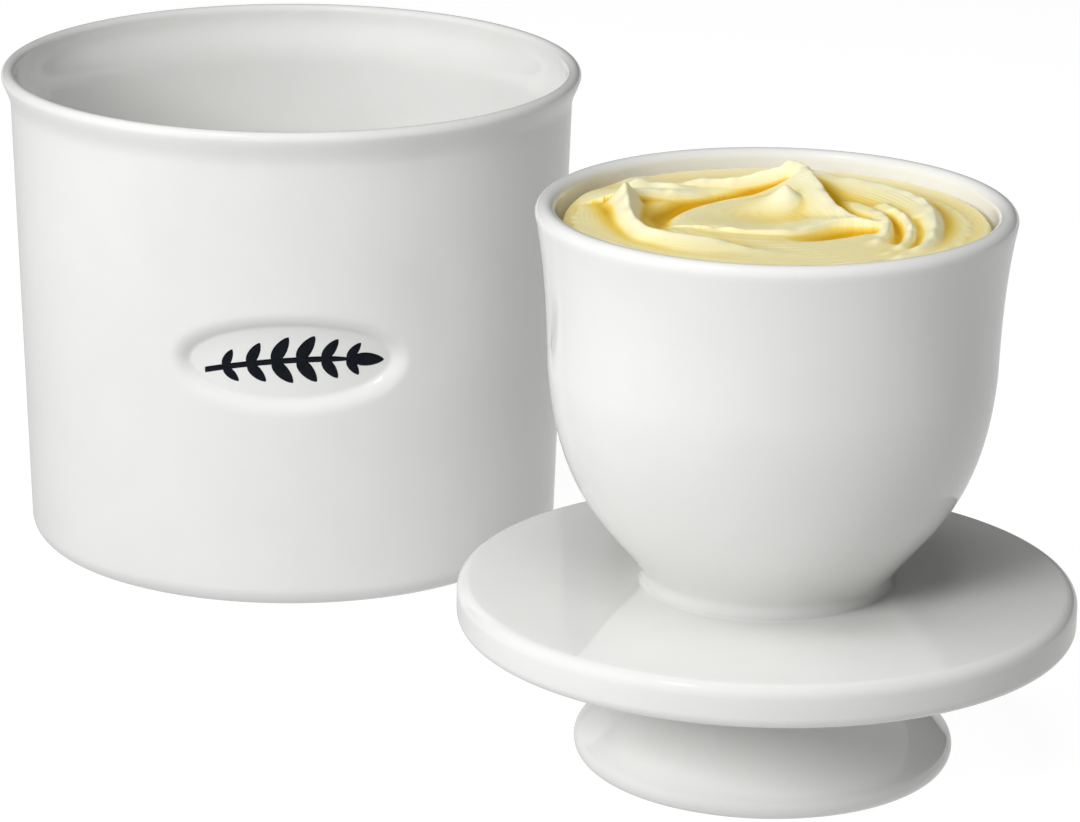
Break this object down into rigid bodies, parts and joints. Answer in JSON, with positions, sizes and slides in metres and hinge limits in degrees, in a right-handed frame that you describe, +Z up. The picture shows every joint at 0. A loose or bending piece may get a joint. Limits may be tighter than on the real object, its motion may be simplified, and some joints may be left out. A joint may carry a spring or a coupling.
{
  "type": "butter crock",
  "caption": "White glazed butter crock: a straight-sided pot with a flared rim and an oval panel, beside its bell lid standing upside down on its knob, packed with butter.",
  "frame": {"origin": "on the table, under the centre of the box round the pot and its lid standing beside it", "axes": "+Z up along both vessels' axes; -Y the way the pot's oval panel faces; +X to the right of somebody looking at the panel"},
  "size_m": [0.2058, 0.2528, 0.1088],
  "materials": {
    "glaze_white": "gloss",
    "decal_navy": "gloss",
    "butter": "satin"
  },
  "bodies": {
    "crock": {"crock_body": "glaze_white", "sprig_decal": "decal_navy"},
    "lid": {"lid_knob": "glaze_white", "knob_luting_fillet": "glaze_white", "lid_plate": "glaze_white", "bell_luting_fillet": "glaze_white", "bell_cup": "glaze_white"},
    "butter": {"butter_fill": "butter"}
  },
  "joints": [
    {"name": "lid_lift", "type": "slide", "parent": "crock", "child": "lid", "axis": [0, 0, 1], "range_m": [0, 0.15]},
    {"name": "butter_lift", "type": "slide", "parent": "lid", "child": "butter", "axis": [0, 0, 1], "range_m": [0, 0.075]}
  ]
}
